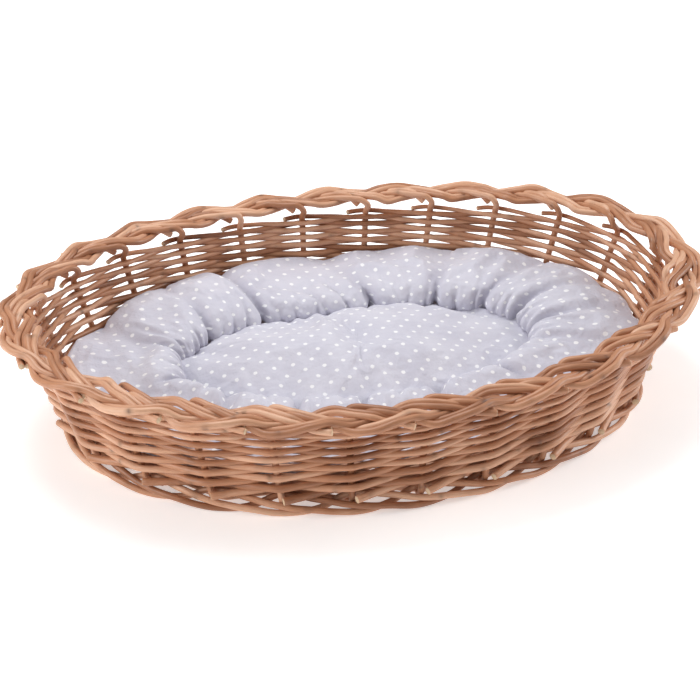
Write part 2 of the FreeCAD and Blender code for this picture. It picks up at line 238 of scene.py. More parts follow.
@dataclass(frozen=True)
class Rod:
    """One willow rod's thickness and unevenness, in metres."""

    butt_radius: float
    tip_radius: float
    sides: int = 10
    wander: float = 0.0003
    knot_spacing: float = 0.075
    knot_length: float = 0.0022
    knot_swelling: float = 0.07
    chamfer: float = 0.0006

    def surface(self, line: Array, reference: Array, rng: np.random.Generator) -> Surface:
        """Carry a round section along a line.

        Each ring lies square to the line; its first direction is the reference less its
        part along the line. Ring radius runs evenly from butt to tip, times slow waves
        and a bell-shaped swelling at each knot. Both ends are chamfered and closed.

        Args:
            line: points of the rod's middle, evenly spaced.
            reference: for each point, a direction that is never along the line.
            rng: the piece's own random numbers.

        Returns:
            The rod as a closed surface, with masks tint, knot and cut.
        """
        gaps = np.linalg.norm(np.diff(line, axis=0), axis=1)
        length = np.concatenate([[0.0], np.cumsum(gaps)])
        tangent = unit(np.gradient(line, axis=0))
        first = unit(reference - (reference * tangent).sum(axis=1, keepdims=True) * tangent)
        second = np.cross(tangent, first)
        sway = ease(np.minimum(length, length[-1] - length) / 0.02) * self.wander
        line = (line + first * (sway * slow_noise(length, 0.043, rng))[:, None]
                + second * (sway * slow_noise(length, 0.057, rng))[:, None])
        radius = np.interp(length, [0.0, length[-1]], [self.butt_radius, self.tip_radius])
        radius = radius * (1.0 + 0.035 * slow_noise(length, 0.08, rng))
        angle = np.arange(self.sides) * TAU / self.sides
        swell, mask = self.knots(length, angle, rng)
        rings_radius = radius[:, None] * (1.0 + self.knot_swelling * swell)
        rings = (line[:, None] + first[:, None] * (np.cos(angle) * rings_radius)[..., None]
                 + second[:, None] * (np.sin(angle) * rings_radius)[..., None])
        start = self.chamfered(rings[0], line[0], -tangent[0])
        end = self.chamfered(rings[-1], line[-1], tangent[-1])
        rings = np.concatenate([start[None], rings, end[None]])
        mask = np.concatenate([mask[:1] * 0.0, mask, mask[-1:] * 0.0])
        cut = np.zeros_like(mask)
        cut[0] = cut[-1] = 1.0
        length = np.concatenate([length[:1] - self.chamfer, length, length[-1:] + self.chamfer])
        return self.closed(rings, length, mask, cut, rng.uniform())

    def knots(self, length: Array, angle: Array, rng: np.random.Generator) -> tuple[Array, Array]:
        """Bell-shaped swellings all round, and darker bud marks on one side of each.

        Args:
            length: distance of each ring from the butt.
            angle: angle of each side.
            rng: the piece's own random numbers.

        Returns:
            The swelling and the mark, each rings by sides, from 0 to 1.
        """
        count = max(1, int(length[-1] / self.knot_spacing))
        places = (np.arange(count) + rng.uniform(0.15, 0.85, count)) * self.knot_spacing
        turns = rng.uniform(0.0, TAU, count)
        strength = rng.uniform(0.35, 1.0, count)
        away = (length[:, None] - places) / self.knot_length
        bell = np.exp(-away ** 2) * strength
        swell = np.exp(-(away / 1.8) ** 2) * strength
        facing = np.exp(4.0 * (np.cos(angle[None, :] - turns[:, None]) - 1.0))
        ring = np.repeat(swell.max(axis=1, keepdims=True), len(angle), axis=1)
        return ring, np.clip(bell @ facing + 0.25 * ring, 0.0, 1.0)

    def chamfered(self, ring: Array, centre: Array, outward: Array) -> Array:
        """A ring's smaller copy, a chamfer further out."""
        return centre + (ring - centre) * 0.86 + outward * self.chamfer

    def closed(self, rings: Array, length: Array, knot: Array, cut: Array,
               tint: float) -> Surface:
        """Join rings into a shell and close both ends with a fan round a middle point.

        Args:
            rings: points, rings by sides by three.
            length: distance of each ring from the butt.
            knot: the bud marks, rings by sides.
            cut: 1 on the cut faces, rings by sides.
            tint: the rod's own shade, from 0 to 1.

        Returns:
            The closed surface.
        """
        count = len(rings)
        middles = rings[[0, -1]].mean(axis=1)
        vertices = np.concatenate([rings.reshape(-1, 3), middles])
        quads = wrapped_quads(count, self.sides, False)
        column = np.arange(self.sides)
        after = (column + 1) % self.sides
        bottom = np.stack([np.full(self.sides, count * self.sides), after, column], axis=1)
        last = (count - 1) * self.sides
        top = np.stack([np.full(self.sides, count * self.sides + 1), last + column,
                        last + after], axis=1)
        uvs = np.concatenate([wrapped_uvs(count, self.sides, False, 1.0, length),
                              np.full((3 * self.sides, 2), [0.5, length[0]]),
                              np.full((3 * self.sides, 2), [0.5, length[-1]])])
        masks = {"knot": np.concatenate([knot.ravel(), [0.0, 0.0]]),
                 "cut": np.concatenate([cut.ravel(), [1.0, 1.0]]),
                 "tint": np.full(len(vertices), tint)}
        return Surface(vertices, quads, np.concatenate([bottom, top]), uvs, masks)


@dataclass(frozen=True)
class WallPlan:
    """The stake line: where each stake stands and which way is out, in metres."""

    rim_half_length: float = 0.325
    rim_half_width: float = 0.219
    foot_half_length: float = 0.291
    foot_half_width: float = 0.207
    base_level: float = 0.0092
    border_level: float = 0.111
    end_lift: float = 0.006
    stakes: int = 24

    def angle(self, place: Array) -> Array:
        """Ellipse angle of places counted in stakes, evenly spaced along the rim's outline.

        Args:
            place: stake numbers, whole or between two stakes.

        Returns:
            Angles in radians.
        """
        steps = np.linspace(0.0, TAU, 1441)
        middle = (steps[1:] + steps[:-1]) / 2.0
        slope = np.hypot(self.rim_half_length * np.sin(middle),
                         self.rim_half_width * np.cos(middle))
        length = np.concatenate([[0.0], np.cumsum(slope)])
        turns = np.asarray(place, dtype=float) / self.stakes
        whole = np.floor(turns)
        return TAU * whole + np.interp((turns - whole) * length[-1], length, steps)

    def rim_level(self, place: Array) -> Array:
        """Height of the border's underside, which lifts towards both ends."""
        return self.border_level + self.end_lift * np.cos(2.0 * self.angle(place))

    def halves(self, level: Array) -> tuple[Array, Array]:
        """Half length and half width of the stake line at a height."""
        share = (np.asarray(level) - self.base_level) / (self.border_level - self.base_level)
        return (self.foot_half_length + (self.rim_half_length - self.foot_half_length) * share,
                self.foot_half_width + (self.rim_half_width - self.foot_half_width) * share)

    def point(self, place: Array, level: Array) -> Array:
        """Points of the stake line: half length times the cosine, half width times the sine."""
        angle = self.angle(place)
        half_length, half_width = self.halves(level)
        return np.stack([half_length * np.cos(angle), half_width * np.sin(angle),
                         np.asarray(level) + 0.0 * angle], axis=-1)

    def along(self, place: Array, level: Array) -> Array:
        """Level unit vectors along the wall, anticlockwise from above."""
        angle = self.angle(place)
        half_length, half_width = self.halves(level)
        slope = [-half_length * np.sin(angle), half_width * np.cos(angle), 0.0 * angle]
        return unit(np.stack(slope, axis=-1))

    def outward(self, place: Array, level: Array) -> Array:
        """Level unit vectors away from the wall."""
        return np.cross(self.along(place, level), [0.0, 0.0, 1.0])


@dataclass(frozen=True)
class Siding:
    """The woven sides: one tapering rod from beside each stake, climbing a stroke a stake."""

    wall: WallPlan
    strokes: int = 17
    start_level: float = 0.0196
    margin: float = 0.0070
    stake_radius: float = 0.0026
    crowding: float = 0.27
    butt_radius: float = 0.0037
    tip_radius: float = 0.0024

    def level(self, place: Array, stroke: Array) -> Array:
        """Height of a stroke: the rise gets smaller as the rods get thinner.

        Args:
            place: stake numbers.
            stroke: stroke numbers, 0 at the foot.

        Returns:
            start + span times ((1 + c) f - c f squared), where f is the stroke's share.
        """
        span = self.wall.rim_level(place) - self.margin - self.start_level
        share = stroke / (self.strokes - 1.0)
        return self.start_level + span * ((1.0 + self.crowding) * share
                                          - self.crowding * share ** 2)

    def controls(self, first: int, rng: np.random.Generator) -> tuple[Array, Array]:
        """Control points of one rod, three at each stake, and their places.

        Args:
            first: the stake that the rod starts beside.
            rng: the piece's own random numbers.

        Returns:
            Points and places.
        """
        stroke = np.arange(1, self.strokes, dtype=float)
        side = np.where(stroke % 2 == 0, 1.0, -1.0)
        radius = np.interp(stroke, [0.0, self.strokes], [self.butt_radius, self.tip_radius])
        reach = side * (self.stake_radius + radius + 0.0001)
        steps = np.array([-0.13, 0.0, 0.13])
        shares = np.array([0.80, 1.0, 0.80])
        strokes = (stroke[:, None] + steps).ravel()
        away = (reach[:, None] * shares).ravel()
        lift = np.repeat(rng.normal(0.0, 0.00035, len(stroke)), 3)
        strokes = np.concatenate([[0.05, 0.34], strokes, [self.strokes - 0.72]])
        away = np.concatenate([[0.0105, 0.0032], away, [0.0]])
        lift = np.concatenate([[0.0, 0.0], lift, [0.0]])
        place = first + strokes
        level = self.level(place, strokes) + lift
        outward = self.wall.outward(place, level)
        return self.wall.point(place, level) + outward * away[:, None], place

    def build(self, material: bpy.types.Material) -> None:
        """Make one piece for each siding rod."""
        for first in range(self.wall.stakes):
            rng = np.random.default_rng(100 + first)
            points, place = self.controls(first, rng)
            line = smooth_line(np.column_stack([points, place]), 0.004)
            outward = self.wall.outward(line[:, 3], line[:, 2])
            scale = rng.uniform(0.92, 1.06)
            rod = Rod(self.butt_radius * scale, self.tip_radius * scale, wander=0.00025)
            surface = rod.surface(line[:, :3], outward, rng)
            name = "siding_rod_%02d" % (first + 1)
            piece = make_object("woven_" + name, surface, material)
            declare(piece, Body.BASKET, [name])


@dataclass(frozen=True)
class FootWale:
    """Three thick rods twisted round the foot: outside two stakes, inside the third."""

    wall: WallPlan
    radius: float = 0.0032
    stake_radius: float = 0.0025
    clearance: float = 0.0005

    def controls(self, strand: int) -> tuple[Array, Array]:
        """Control points of one strand, starting where it lies inside a back stake.

        Args:
            strand: 0, 1 or 2.

        Returns:
            Points and places, once round and back to the start.
        """
        reach = self.stake_radius + self.radius + self.clearance
        inner = self.wall.base_level + reach + 0.0013
        high = 3.0 * self.radius + 0.001
        at_stake = np.array([(-reach, inner), (reach, high), (reach + 0.0006, self.radius)])
        half_way = np.array([(0.0006, inner - 0.0009),
                             (reach + 0.0026, 2.0 * self.radius + 0.0018),
                             (0.0002, self.radius + 0.0014)])
        start = 2 * (self.wall.stakes // 4 + strand)
        step = start + np.arange(2 * self.wall.stakes)
        part = (step // 2 - strand) % 3
        away, level = np.where((step % 2 == 0)[:, None], at_stake[part], half_way[part]).T
        place = step / 2.0
        points = self.wall.point(place, level) + self.wall.outward(place, level) * away[:, None]
        return np.vstack([points, points[:1]]), np.append(place, place[0] + self.wall.stakes)

    def build(self, material: bpy.types.Material) -> None:
        """Make one piece for each strand."""
        for strand in range(3):
            rng = np.random.default_rng(300 + strand)
            points, place = self.controls(strand)
            line = smooth_line(np.column_stack([points, place]), 0.004)
            outward = self.wall.outward(line[:, 3], line[:, 2])
            rod = Rod(self.radius, self.radius * 0.98, sides=12, wander=0.0002,
                      knot_spacing=0.11)
            name = "foot_wale_rod_%d" % (strand + 1)
            piece = make_object("twisted_" + name, rod.surface(line[:, :3], outward, rng), material)
            declare(piece, Body.BASKET, [name])


# One pair's way through the plait. Each row is (stake spacings from its own stake,
# millimetres outward from the stake line, millimetres over the border's underside).
PLAIT = np.array([
    (0.07, -7.4, 12.6), (0.30, 0.4, 13.0), (0.52, 7.4, 12.2), (0.76, 13.8, 6.0),
    (1.00, 24.0, 0.0), (1.26, 27.2, 5.6), (1.52, 25.8, 13.0), (1.76, 17.6, 13.0),
    (2.00, 15.6, 6.0), (2.26, 9.2, 5.0), (2.50, 0.8, 4.6), (2.70, -5.6, 6.8),
    (2.84, -4.4, 11.8), (3.05, 3.2, 12.8), (3.28, 11.8, 12.6), (3.42, 15.0, 8.6),
    (3.56, 19.2, 5.0), (3.76, 26.4, 3.4)])


@dataclass(frozen=True)
class StakesAndBorder:
    """Stakes, their feet in the base, and their tails plaited with fillers into the border."""

    wall: WallPlan
    pitch: float = 0.0063
    middle_level: float = 0.0072
    flatness: float = 0.60
    middle_away: float = 0.0108
    narrowness: float = 0.84
    tail: Rod = Rod(0.0033, 0.0032, sides=12, wander=0.0001)
    filler: Rod = Rod(0.0035, 0.0031, sides=12, wander=0.0001)
    line_step: float = 0.0027
    unevenness: float = 0.0005
    foot_points: int = 5
    upright_points: int = 8
    foot_length: float = 0.042
    stick_beside_stake: float = 0.0066
    stick_end_inset: float = 0.008
    stick_pitch: float = 0.020
    long_stick_pitch: float = 0.0044

    def inward(self) -> Array:
        """For each stake, the direction of its foot: beside the base stick that ends there.

        Returns:
            Unit vectors, one row for each stake.
        """
        count = self.wall.stakes
        quarter = count // 4
        stake = np.arange(count)
        back = (stake > 1) & (stake < 2 * quarter - 1)
        front = (stake > 2 * quarter + 1) & (stake < count - 1)
        right = np.where(stake > 2 * quarter, stake - count, stake)
        left = 2 * quarter - stake
        is_right = (stake <= 1) | (stake >= count - 1)
        lane = np.where(is_right, right, left)
        end = self.stick_pitch * (quarter - 1.1)
        x = np.where(back, self.stick_pitch * (quarter - stake),
                     np.where(front, self.stick_pitch * (stake - 3 * quarter),
                              np.where(is_right, end, -end)))
        bend = 3.0 * self.long_stick_pitch
        y = np.where(back, bend, np.where(front, -bend, self.long_stick_pitch * lane))
        inner = np.stack([x, y, np.full(count, self.wall.base_level)], axis=1)
        foot = self.wall.point(stake, self.wall.base_level)
        stick_end = foot
        for _ in range(6):
            direction = unit(inner - stick_end)
            beside = np.cross(direction, [0.0, 0.0, 1.0]) * self.stick_beside_stake
            stick_end = foot + direction * self.stick_end_inset + beside
        return direction

    def plait_rows(self, stake: int, rows: Array, side_step: float) -> tuple[Array, Array]:
        """Points of the plait for one rod of a pair.

        Args:
            stake: the pair's own stake.
            rows: rows of the plait table.
            side_step: distance outward from the pair's middle, in metres.

        Returns:
            Points and places.
        """
        place = stake + rows[:, 0]
        flattened = self.middle_level + (rows[:, 2] * MM - self.middle_level) * self.flatness
        level = self.wall.rim_level(place) + flattened
        line = self.wall.point(place, self.wall.border_level)
        line[:, 2] = level
        away = self.middle_away + (rows[:, 1] * MM - self.middle_away) * self.narrowness
        away = away + side_step
        return line + self.wall.outward(place, self.wall.border_level) * away[:, None], place

    def stake_controls(self, stake: int, inward: Array) -> Array:
        """Columns x, y, z, place and share of plait for one stake with its tail.

        Args:
            stake: the stake's number.
            inward: the direction of its foot.

        Returns:
            The control rows from the foot's end to the tail's end.
        """
        wall = self.wall
        foot = wall.point(stake, wall.base_level)
        shares = np.array([1.0, 0.6, 0.28, 0.12, 0.04])
        feet = foot + inward * (self.foot_length * shares)[:, None]
        feet[-1, 2] += 0.0006
        levels = np.linspace(wall.base_level + 0.004, float(wall.rim_level(stake)) - 0.007,
                             self.upright_points)
        upright = wall.point(np.full(self.upright_points, stake), levels)
        rows = np.vstack([(0.0, -8.4, 2.0), PLAIT])
        tail, place = self.plait_rows(stake, rows, -self.pitch / 2.0)
        points = np.vstack([feet, upright, tail])
        places = np.concatenate([np.full(len(feet) + self.upright_points, float(stake)), place])
        share = np.concatenate([np.zeros(len(feet) + 4), np.linspace(0.0, 1.0, 4),
                                np.ones(len(tail))])
        return np.column_stack([points, places, share])

    def build(self, material: bpy.types.Material) -> None:
        """Make one piece for each stake and its filler."""
        inward = self.inward()
        plait = self.foot_points + self.upright_points
        for stake in range(self.wall.stakes):
            rng = np.random.default_rng(500 + stake)
            shells = []
            controls = self.stake_controls(stake, inward[stake])
            controls[plait:, :3] += rng.normal(0.0, self.unevenness, (len(controls) - plait, 3))
            line = smooth_line(controls, self.line_step)
            share = line[:, 4:5]
            reference = (self.wall.along(line[:, 3], line[:, 2]) * (1.0 - share)
                         + self.wall.outward(line[:, 3], line[:, 2]) * share)
            shells.append(self.tail.surface(line[:, :3], reference, rng))
            start, start_place = self.plait_rows(stake, np.array([(0.12, -2.4, -1.6)]), 0.0)
            points, place = self.plait_rows(stake, PLAIT[1:], self.pitch / 2.0)
            points += rng.normal(0.0, self.unevenness, points.shape)
            controls = np.column_stack([np.vstack([start, points]),
                                        np.concatenate([start_place, place])])
            line = smooth_line(controls, self.line_step)
            outward = self.wall.outward(line[:, 3], line[:, 2])
            shells.append(self.filler.surface(line[:, :3], outward, rng))
            name = "stake_%02d" % (stake + 1)
            piece = make_object("plaited_" + name, join_surfaces(shells), material)
            declare(piece, Body.BASKET, [name])


@dataclass(frozen=True)
class Base:
    """The base keeps its solid rods and gets the willow finish."""

    nodes: tuple[str, ...] = ("base_cross_sticks", "base_long_sticks",
                              "base_weave_outer", "base_weave_inner")

    def build(self, material: bpy.types.Material) -> None:
        """Dress each base node."""
        for name in self.nodes:
            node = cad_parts[name]
            node.data.materials.clear()
            node.data.materials.append(material)
            LOG.info("%s: kept solid, new finish", name)


# ---------------------------------------------------------------- cushion

@dataclass(frozen=True)
class Swelling:
    """How a sewn cover is blown up by its stuffing, as a short cloth simulation."""

    wall: WallPlan
    pressure: float = 4.0
    frames: int = 20
    spare_cloth: float = 0.07
    cap: float = 0.018
    wall_gap: float = 0.0118
    underside: float = 0.0191

    def swell(self, piece: bpy.types.Object, seam: Array) -> None:
        """Swell a piece with its seam held still, then keep it inside the basket.

        Args:
            piece: the cover, at the origin.
            seam: numbers of the vertices that stay where they are.
        """
        mesh = piece.data
        start = np.empty(3 * len(mesh.vertices), dtype=np.float32)
        mesh.vertices.foreach_get("co", start)
        start = start.reshape(-1, 3)
        end = self.simulate(piece, seam)
        moved = end - start
        far = np.linalg.norm(moved, axis=1, keepdims=True)
        end = start + moved * np.minimum(1.0, self.cap / np.maximum(far, 1e-9))
        half_length, half_width = self.wall.halves(np.clip(end[:, 2], 0.02, 0.12))
        reach = np.hypot(end[:, 0] / (half_length - self.wall_gap),
                         end[:, 1] / (half_width - self.wall_gap))
        end[:, :2] /= np.maximum(reach, 1.0)[:, None]
        end[:, 2] = np.maximum(end[:, 2], self.underside)
        mesh.vertices.foreach_set("co", end.astype(np.float32).ravel())
        mesh.update()
        LOG.info("%s: swelled by up to %.1f mm", piece.name, 1000.0 * float(far.max()))

    def simulate(self, piece: bpy.types.Object, seam: Array) -> Array:
        """Run the cloth with pressure inside and no gravity, and take it off again.

        Args:
            piece: the cover.
            seam: numbers of the vertices that stay where they are.

        Returns:
            Where the vertices end.
        """
        group = piece.vertex_groups.new(name="seam")
        group.add(seam.tolist(), 1.0, "REPLACE")
        cloth = piece.modifiers.new("swelling", "CLOTH")
        settings = cloth.settings
        settings.quality = 5
        settings.mass = 0.2
        settings.use_pressure = True
        settings.uniform_pressure_force = self.pressure
        settings.shrink_min = -self.spare_cloth
        settings.bending_stiffness = 0.3
        settings.effector_weights.gravity = 0.0
        settings.vertex_group_mass = group.name
        scene = bpy.context.scene
        for number in range(1, self.frames + 1):
            scene.frame_set(number)
        shown = piece.evaluated_get(bpy.context.evaluated_depsgraph_get())
        end = np.empty(3 * len(piece.data.vertices), dtype=np.float32)
        shown.data.vertices.foreach_get("co", end)
        piece.modifiers.remove(cloth)
        piece.vertex_groups.remove(group)
        scene.frame_set(1)
        return end.reshape(-1, 3)


def soften(piece: bpy.types.Object) -> None:
    """Round a swelled cover with one level of subdivision."""
    rounding = piece.modifiers.new("rounding", "SUBSURF")
    rounding.levels = 1
    rounding.render_levels = 1


@dataclass(frozen=True)
class Bolster:
    """The stuffed ring: an oval tube of cloth, gathered at its seam with the pad."""

    swelling: Swelling
    half_length: float = 0.2345
    half_width: float = 0.1415
    squareness: float = 2.25
    half_thick: float = 0.0300
    half_breadth: float = 0.0560
    level: float = 0.0495
    rows: int = 400
    columns: int = 56
    gathers: int = 64
    puff: float = 0.075
    seed: int = 21
    notches: tuple[float, ...] = (0.040, 0.095, 0.150, 0.212, 0.318, 0.385, 0.455, 0.525,
                                  0.600, 0.672, 0.735, 0.800, 0.862, 0.930, 0.985)

    def centre_line(self) -> tuple[Array, Array, Array]:
        """The oval's points, outward directions and lengths, evenly spaced.

        The oval is |x/a| to the power n plus |y/b| to the power n equals one.

        Returns:
            Points, level outward unit vectors and distance from the first point.
        """
        angle = np.linspace(0.0, TAU, 6001)
        power = 2.0 / self.squareness
        x = self.half_length * np.sign(np.cos(angle)) * np.abs(np.cos(angle)) ** power
        y = self.half_width * np.sign(np.sin(angle)) * np.abs(np.sin(angle)) ** power
        length = np.concatenate([[0.0], np.cumsum(np.hypot(np.diff(x), np.diff(y)))])
        wanted = np.arange(self.rows) * length[-1] / self.rows
        points = np.stack([np.interp(wanted, length, x), np.interp(wanted, length, y)], axis=1)
        slope = unit(np.roll(points, -1, axis=0) - np.roll(points, 1, axis=0))
        outward = np.stack([slope[:, 1], -slope[:, 0]], axis=1)
        return points, outward, np.append(wanted, length[-1])

    def puffs(self, around: Array) -> Array:
        """Rounded bulges between the notches: one less the distance from a bulge's middle,
        as a share of its half length, to the power three.

        Args:
            around: share of the way round, rows by columns.

        Returns:
            Bulge height, from 0 at a notch to 1.
        """
        edges = np.array((self.notches[-1] - 1.0,) + self.notches + (self.notches[0] + 1.0,))
        cell = np.interp(around % 1.0, edges, np.arange(len(edges)))
        return 1.0 - np.abs(2.0 * (cell % 1.0) - 1.0) ** 3

    def section_scale(self, around: Array, angle: Array) -> Array:
        """Size of the section everywhere: puffs, less many small gathers near the seam.

        A notch and a gather are bell-shaped across. A notch fades with the angle from the
        seam over the whole top, and a gather fades within the inner side.

        Args:
            around: share of the way round, one for each row.
            angle: angle round the section, one for each column.

        Returns:
            A scale near one, rows by columns.
        """
        rng = np.random.default_rng(self.seed)
        from_seam = np.abs((angle - math.pi + math.pi) % TAU - math.pi)[None, :]
        turned = around[:, None] + 0.010 * np.sin(3.0 * TAU * around)[:, None] * from_seam
        top = np.clip(1.4 - 0.35 * from_seam, 0.25, 1.0)
        scale = 1.0 + self.puff * top * (self.puffs(turned) - 0.75)
        for notch in self.notches:
            depth, width = rng.uniform(0.14, 0.30), rng.uniform(0.0042, 0.0062)
            shift = (turned - notch + 0.5) % 1.0 - 0.5
            fade = np.exp(-(from_seam / rng.uniform(1.5, 2.3)) ** 2)
            scale = scale - depth * fade * np.exp(-(shift / (width * (0.7 + 0.5 * from_seam))) ** 2)
        for index in range(self.gathers):
            place = (index + rng.uniform(-0.4, 0.4)) / self.gathers
            depth, width = rng.uniform(0.04, 0.13), rng.uniform(0.0022, 0.0038)
            slant = rng.uniform(-0.010, 0.010)
            shift = (turned - place - slant * from_seam + 0.5) % 1.0 - 0.5
            fade = np.exp(-(from_seam / rng.uniform(0.7, 1.5)) ** 2)
            scale = scale - depth * fade * np.exp(-(shift / (width * (0.6 + 0.8 * from_seam))) ** 2)
        return scale

    def surface(self) -> Surface:
        """The ring as a closed grid: the scaled oval section carried round the centre line.

        The front is lower than the rest, because it is pressed down by lying on it.

        Returns:
            The surface, with UVs in metres of cloth.
        """
        points, outward, length = self.centre_line()
        around = np.arange(self.rows) / self.rows
        angle = np.arange(self.columns) * TAU / self.columns
        scale = self.section_scale(around, angle)
        pressed = 1.0 - 0.24 * np.exp(-((around - 0.76) / 0.10) ** 2)[:, None]
        wide = self.half_breadth * np.cos(angle) * scale
        thick = self.half_thick * np.sin(angle) * scale * pressed
        x = points[:, 0:1] + outward[:, 0:1] * wide
        y = points[:, 1:2] + outward[:, 1:2] * wide
        z = self.level * (0.6 + 0.4 * pressed) + thick
        vertices = np.stack([x, y, z], axis=-1).reshape(-1, 3)
        around_section = math.pi * (self.half_breadth + self.half_thick)
        quads = wrapped_quads(self.rows, self.columns, True)
        uvs = wrapped_uvs(self.rows, self.columns, True, around_section, length)
        # Painted shade: this crease mask darkens the cloth colour where the section is pulled in at
        # notches and gathers.
        crease_shade = np.clip((0.97 - scale) * 5.0, 0.0, 1.0).ravel()
        return Surface(vertices, quads, np.zeros((0, 3), dtype=int), uvs, {"crease_shade": crease_shade})

    def build(self, material: bpy.types.Material) -> None:
        """Make the bolster, which stands for its cover and filling."""
        piece = make_object("gathered_bolster", self.surface(), material)
        column = self.columns // 2
        row = np.arange(self.rows) * self.columns
        seam = np.concatenate([row + column, row + column + 1, row + column + 2])
        self.swelling.swell(piece, seam)
        soften(piece)
        declare(piece, Body.CUSHION, ["bolster_cover", "bolster_filling"])


@dataclass(frozen=True)
class Pad:
    """The crowned oval middle of the cushion, pulled down at its seam."""

    swelling: Swelling
    half_length: float = 0.196
    half_width: float = 0.1030
    underside: float = 0.0195
    seam_level: float = 0.0410
    crown: float = 0.0200
    rings: int = 56
    spokes: int = 260
    gathers: int = 44
    seed: int = 33

    def gather_depth(self, turn: Array, radius: Array) -> Array:
        """Creases that fade inward from the seam, each bell-shaped across.

        Args:
            turn: angle of each spoke.
            radius: share of the way out, one for each ring.

        Returns:
            Depths in metres, rings by spokes.
        """
        rng = np.random.default_rng(self.seed)
        depths = np.zeros((len(radius), len(turn)))
        for index in range(self.gathers):
            place = (index + rng.uniform(-0.4, 0.4)) * TAU / self.gathers
            width, reach = rng.uniform(0.018, 0.045), rng.uniform(0.10, 0.30)
            depth, slant = rng.uniform(0.0010, 0.0045), rng.uniform(-0.5, 0.5)
            shift = (turn - place - slant * (1.0 - radius) + math.pi) % TAU - math.pi
            depths += depth * np.exp(-(shift / width) ** 2 - ((1.0 - radius) / reach) ** 2)
        return depths

    def surface(self) -> Surface:
        """Two domes joined at the seam, the lower one flat.

        Over the seam the height is the crown times (1 - r squared) to the power 0.62,
        less the gathers. Under it the height falls to the underside within the outer part.

        Returns:
            The surface, with UVs in metres of cloth seen from above.
        """
        turn = np.arange(self.spokes) * TAU / self.spokes
        radius = np.linspace(0.03, 1.0, self.rings)[:, None] ** 0.8
        folds = self.gather_depth(turn, radius)
        crown = self.crown * (1.0 - radius ** 2) ** 0.62
        sag = 0.0020 * np.sin(3.0 * turn + 1.0) * radius + 0.0015 * np.sin(7.0 * turn) * radius ** 2
        top = self.seam_level + crown - folds + sag * (1.0 - radius ** 4)
        x = self.half_length * radius * np.cos(turn)
        y = self.half_width * radius * np.sin(turn)
        under = self.underside + (self.seam_level - self.underside) * ease((radius - 0.86) / 0.14)
        upper = np.stack([x + 0 * top, y + 0 * top, top], axis=-1)
        lower = np.stack([x + 0 * top, y + 0 * top, under + 0 * top], axis=-1)[::-1][1:]
        rings = np.concatenate([upper, lower])
        count = len(rings)
        flat = rings.reshape(-1, 3)
        middle = np.array([[0, 0, flat[0, 2]], [0, 0, self.underside]])
        quads = wrapped_quads(count, self.spokes, False)[:, ::-1]
        column = np.arange(self.spokes)
        after = (column + 1) % self.spokes
        last = (count - 1) * self.spokes
        first = np.stack([np.full(self.spokes, len(flat)), column, after], axis=1)
        final = np.stack([np.full(self.spokes, len(flat) + 1), last + after, last + column], axis=1)
        vertices = np.concatenate([flat, middle])
        triangles = np.concatenate([first, final])
        uvs = np.concatenate([vertices[quads.ravel(), :2], vertices[triangles.ravel(), :2]])
        # Painted shade: this crease mask darkens the cloth colour in the gather folds, deeper folds
        # darker.
        crease_shade = np.zeros(len(vertices))
        crease_shade[:folds.size] = np.clip(folds / 0.005, 0.0, 1.0).ravel()
        return Surface(vertices, quads, triangles, uvs, {"crease_shade": crease_shade})

    def build(self, material: bpy.types.Material) -> None:
        """Make the pad, which stands for its cover and filling."""
        piece = make_object("crowned_pad", self.surface(), material)
        seam = np.arange((self.rings - 1) * self.spokes, (2 * self.rings - 1) * self.spokes + 2)
        self.swelling.swell(piece, seam[seam < len(piece.data.vertices)])
        soften(piece)
        declare(piece, Body.CUSHION, ["pad_cover", "pad_filling"])


# ---------------------------------------------------------------- finishes

class Tree:
    """A short way to add and join the nodes of one tree."""

    def __init__(self, tree: bpy.types.NodeTree) -> None:
        """Keep the tree."""
        self.tree = tree

    def add(self, kind: str, inputs: dict | None = None, **settings: object) -> bpy.types.Node:
        """Add a node, set its options and fill its inputs with values or outputs.

        Args:
            kind: the node's type name.
            inputs: input name or number to a value or another node's output.
            settings: attributes to set on the node.

        Returns:
            The node.
        """
        node = self.tree.nodes.new(kind)
        for name, value in settings.items():
            setattr(node, name, value)
        for key, value in (inputs or {}).items():
            if isinstance(value, bpy.types.NodeSocket):
                self.tree.links.new(value, node.inputs[key])
            else:
                node.inputs[key].default_value = value
        return node

    def maths(self, operation: str, first: object, second: object = 0.0,
              third: object = 0.0, clamp: bool = False) -> bpy.types.NodeSocket:
        """One arithmetic step."""
        node = self.add("ShaderNodeMath", {0: first, 1: second, 2: third},
                        operation=operation, use_clamp=clamp)
        return node.outputs[0]

    def blend(self, factor: object, first: object, second: object,
              mode: str = "MIX") -> bpy.types.NodeSocket:
        """Mix two colours."""
        node = self.add("ShaderNodeMix", {0: factor, 6: first, 7: second},
                        data_type="RGBA", blend_type=mode)
        return node.outputs[2]

    def between(self, value: object, low: float, high: float, start: float = 0.0,
                end: float = 1.0) -> bpy.types.NodeSocket:
        """Map low to start and high to end, held inside."""
        node = self.add("ShaderNodeMapRange", {0: value, 1: low, 2: high, 3: start, 4: end})
        return node.outputs[0]

    def ramp(self, value: object, stops: tuple[tuple[float, tuple[float, float, float]], ...]
             ) -> bpy.types.NodeSocket:
        """A colour ramp."""
        node = self.add("ShaderNodeValToRGB", {0: value})
        elements = node.color_ramp.elements
        while len(elements) < len(stops):
            elements.new(0.5)
        for element, (place, colour) in zip(elements, stops):
            element.position = place
            element.color = (*colour, 1.0)
        return node.outputs[0]

    def noise(self, vector: object, scale: float, detail: float = 3.0,
              roughness: float = 0.5) -> bpy.types.NodeSocket:
        """Noise from 0 to 1."""
        node = self.add("ShaderNodeTexNoise", {"Vector": vector, "Scale": scale,
                                               "Detail": detail, "Roughness": roughness})
        return node.outputs[0]


